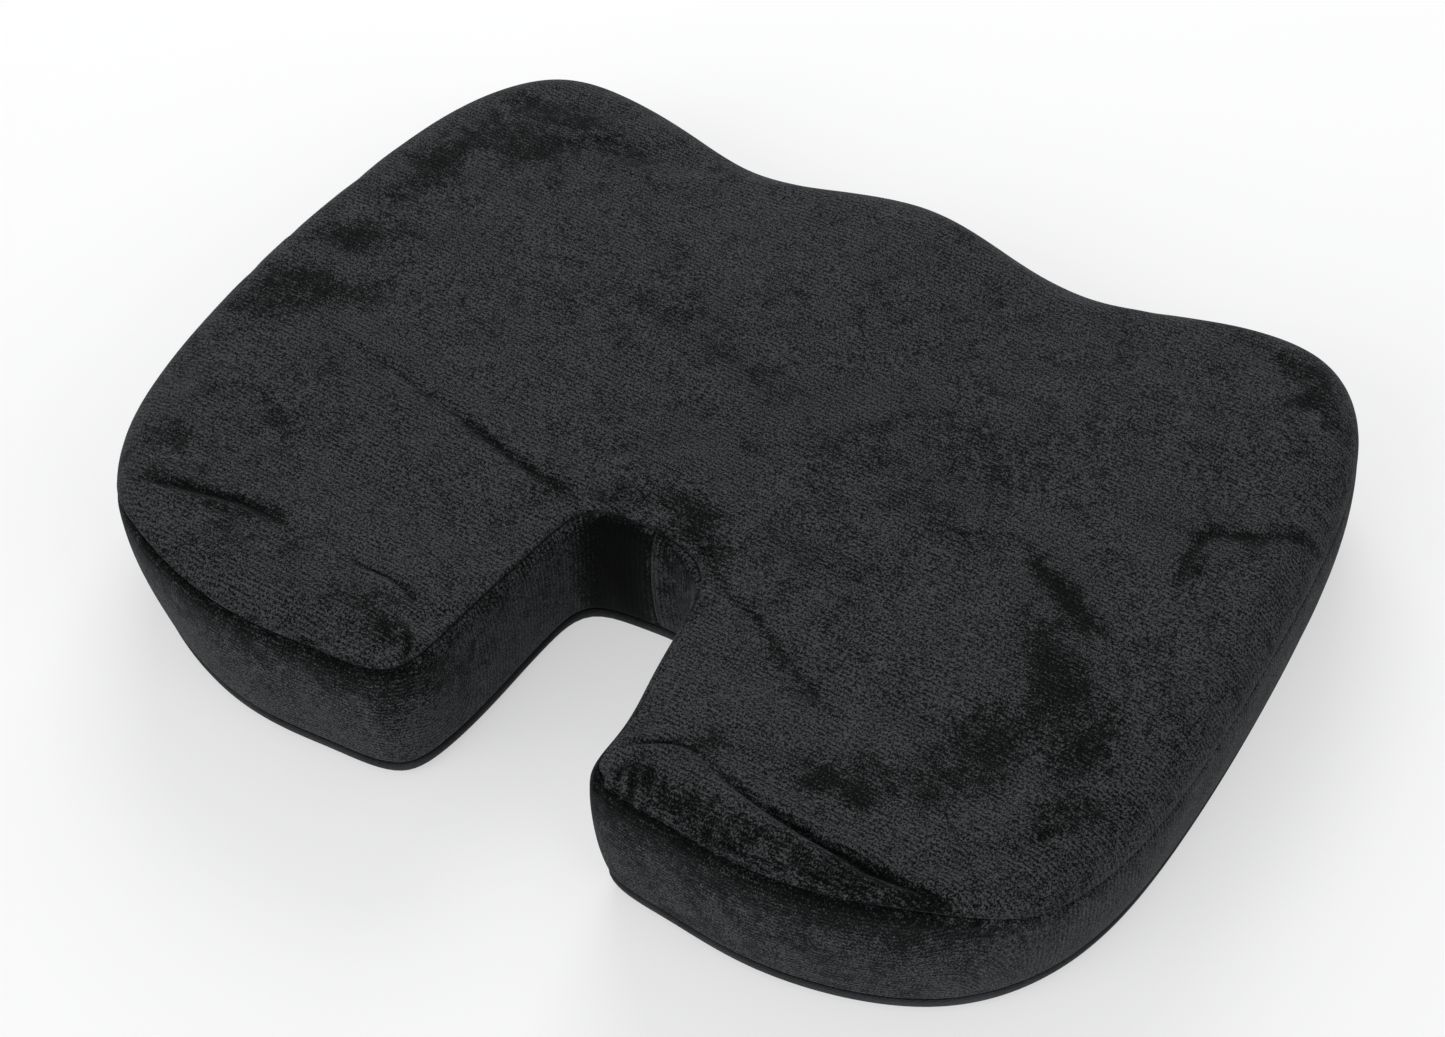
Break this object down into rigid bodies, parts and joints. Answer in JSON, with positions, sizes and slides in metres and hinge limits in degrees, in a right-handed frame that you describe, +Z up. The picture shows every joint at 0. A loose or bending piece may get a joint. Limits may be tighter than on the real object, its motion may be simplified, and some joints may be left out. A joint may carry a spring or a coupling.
{
  "type": "seat cushion",
  "caption": "U-shaped memory foam seat cushion with a coccyx notch and thigh hollows, in a zip-off velour cover.",
  "frame": {"origin": "on the surface the cushion rests on, under the middle of its outline", "axes": "+Z up, +Y towards the front thigh edge, -Y towards the coccyx notch, +X to the sitter's right; the plane X = 0 is the plane of symmetry"},
  "size_m": [0.4496, 0.34, 0.0709],
  "materials": {
    "memory_foam": "open-cell polyurethane foam with a fine moulded skin",
    "velour": "short-pile black velour with a soft sheen",
    "grip_fabric": "black knit with raised non-slip dots",
    "thread": "black polyester thread",
    "zip_tape": "black woven tape",
    "nylon": "black nylon monofilament",
    "black_metal": "black enamelled die-cast zinc"
  },
  "bodies": {
    "cushion": {"foam_core": "memory_foam", "top_panel": "velour", "side_band_right": "velour", "side_band_left": "velour", "grip_panel": "grip_fabric", "top_seam_thread": "thread", "bottom_seam_thread": "thread", "notch_join_thread": "thread", "front_join_thread": "thread", "zip_tape_rear": "zip_tape", "zip_tape_front": "zip_tape", "zip_coil_rear": "nylon", "zip_coil_front": "nylon", "zip_stop_rear": "black_metal", "zip_stop_front": "black_metal", "zip_bottom_stop": "black_metal"},
    "slider": {"zip_slider": "black_metal"},
    "pull": {"zip_pull": "black_metal"}
  },
  "joints": [
    {"name": "zip_slide", "type": "slide", "parent": "cushion", "child": "slider", "axis": [-1, 0, 0], "range_m": [0, 0.308], "deforming": ["zip_coil_rear", "zip_coil_front"]},
    {"name": "pull_flip", "type": "hinge", "parent": "slider", "child": "pull", "pos_m": [0.154, 0.085, 0.0028], "axis": [0, 1, 0], "range_deg": [-175, 0]}
  ]
}
